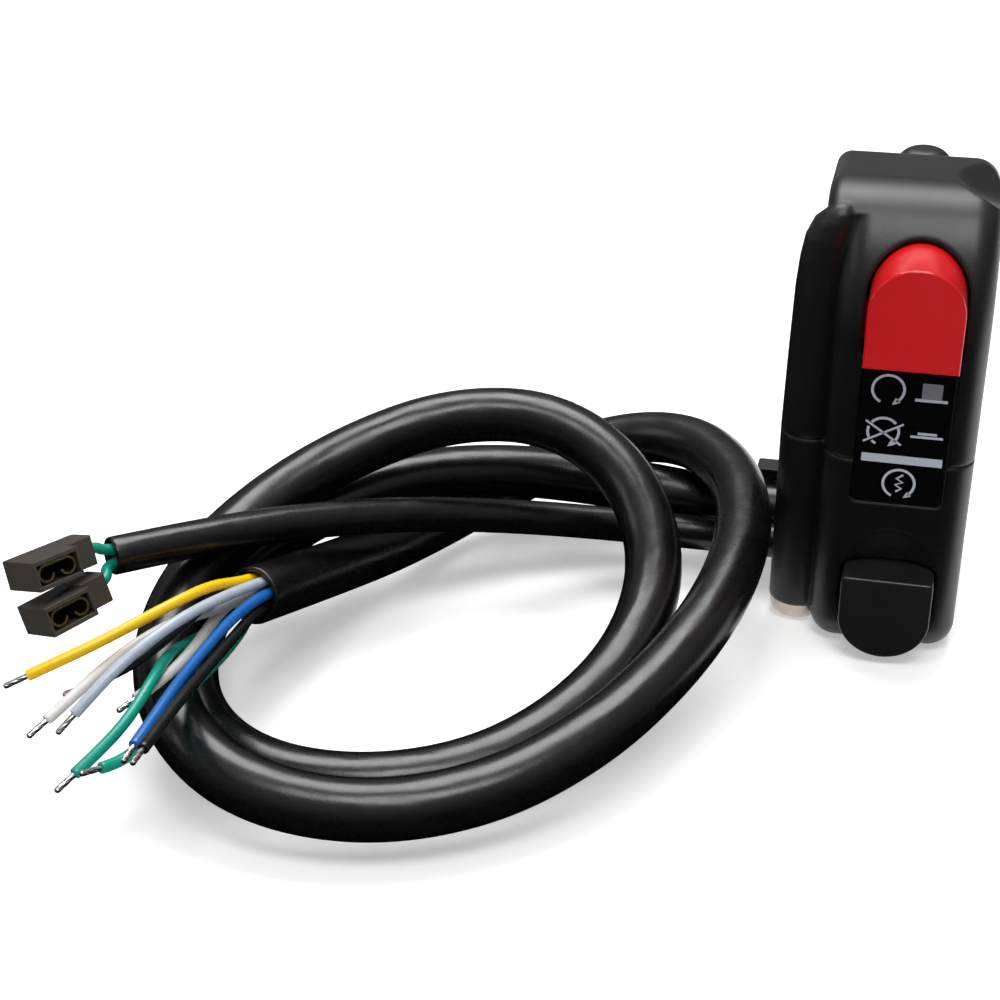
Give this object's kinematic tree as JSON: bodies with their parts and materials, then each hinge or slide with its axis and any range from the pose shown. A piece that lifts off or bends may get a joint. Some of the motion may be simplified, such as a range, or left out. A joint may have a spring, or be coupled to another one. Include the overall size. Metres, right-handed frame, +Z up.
{
  "type": "handlebar switch cluster",
  "caption": "Black two-part clamp housing for a handlebar with a red latching stop button, a legend plate, a start button and two sleeved cables ending in bare wires and flag receptacles.",
  "frame": {"origin": "centre of the handlebar bore, half way along it", "axes": "+X along the bar to the right, +Y away from the rider, +Z up; the buttons face -Y"},
  "size_m": [0.1392, 0.1303, 0.0771],
  "materials": {
    "shell_plastic": "satin moulded ABS, fine grain",
    "kill_red": "satin-gloss moulded red ABS",
    "start_black": "semi-gloss moulded black ABS",
    "legend_black": "polished black with printed symbols",
    "contact_plastic": "natural PBT",
    "brass": "plain brass",
    "tin": "tinned copper strands",
    "spring_steel": "bare spring wire",
    "screw_steel": "zinc-plated steel",
    "rubber": "moulded rubber",
    "sleeve_pvc": "soft PVC sleeving",
    "guide_plastic": "moulded nylon",
    "clip_steel": "stainless strip",
    "flag_nylon": "moulded black nylon",
    "pvc_yellow": "PVC insulation",
    "pvc_grey": "PVC insulation",
    "pvc_black": "PVC insulation",
    "pvc_white_red": "white PVC insulation with a thin red stripe",
    "pvc_green": "PVC insulation",
    "pvc_blue": "PVC insulation"
  },
  "bodies": {
    "housing": {"upper_shell": "shell_plastic", "lower_shell": "shell_plastic", "legend_plate": "legend_black", "kill_switch_body": "contact_plastic", "kill_fixed_contacts": "brass", "kill_return_spring": "spring_steel", "kill_latch_pin": "spring_steel", "start_switch_body": "contact_plastic", "start_fixed_contacts": "brass", "start_return_spring": "spring_steel", "clamp_screw_front": "screw_steel", "clamp_screw_rear": "screw_steel", "clamp_washers": "clip_steel", "threaded_inserts": "brass", "cable_grommet": "rubber", "cable_guide": "guide_plastic", "guide_clip": "clip_steel", "main_cable": "sleeve_pvc", "lead_cable": "sleeve_pvc", "wire_yellow": "pvc_yellow", "wire_grey": "pvc_grey", "wire_black_a": "pvc_black", "wire_black_b": "pvc_black", "wire_striped_a": "pvc_white_red", "wire_striped_b": "pvc_white_red", "wire_green_a": "pvc_green", "wire_green_b": "pvc_green", "wire_blue": "pvc_blue", "wire_tips": "tin", "lead_wire_upper": "pvc_green", "lead_wire_lower": "pvc_green", "flag_housing_upper": "flag_nylon", "flag_housing_lower": "flag_nylon", "flag_terminal_upper": "brass", "flag_terminal_lower": "brass"},
    "kill_plunger": {"kill_button": "kill_red", "kill_contact_bridge": "brass"},
    "start_plunger": {"start_button": "start_black", "start_contact_bridge": "brass"}
  },
  "joints": [
    {"name": "kill_press", "type": "slide", "parent": "housing", "child": "kill_plunger", "axis": [0, 1, 0], "range_m": [0, 0.004], "stiffness_N_per_m": 400, "springref_m": -0.001, "deforming": ["kill_return_spring"]},
    {"name": "start_press", "type": "slide", "parent": "housing", "child": "start_plunger", "axis": [0, 1, 0], "range_m": [0, 0.003], "stiffness_N_per_m": 500, "springref_m": -0.001, "deforming": ["start_return_spring"]}
  ]
}
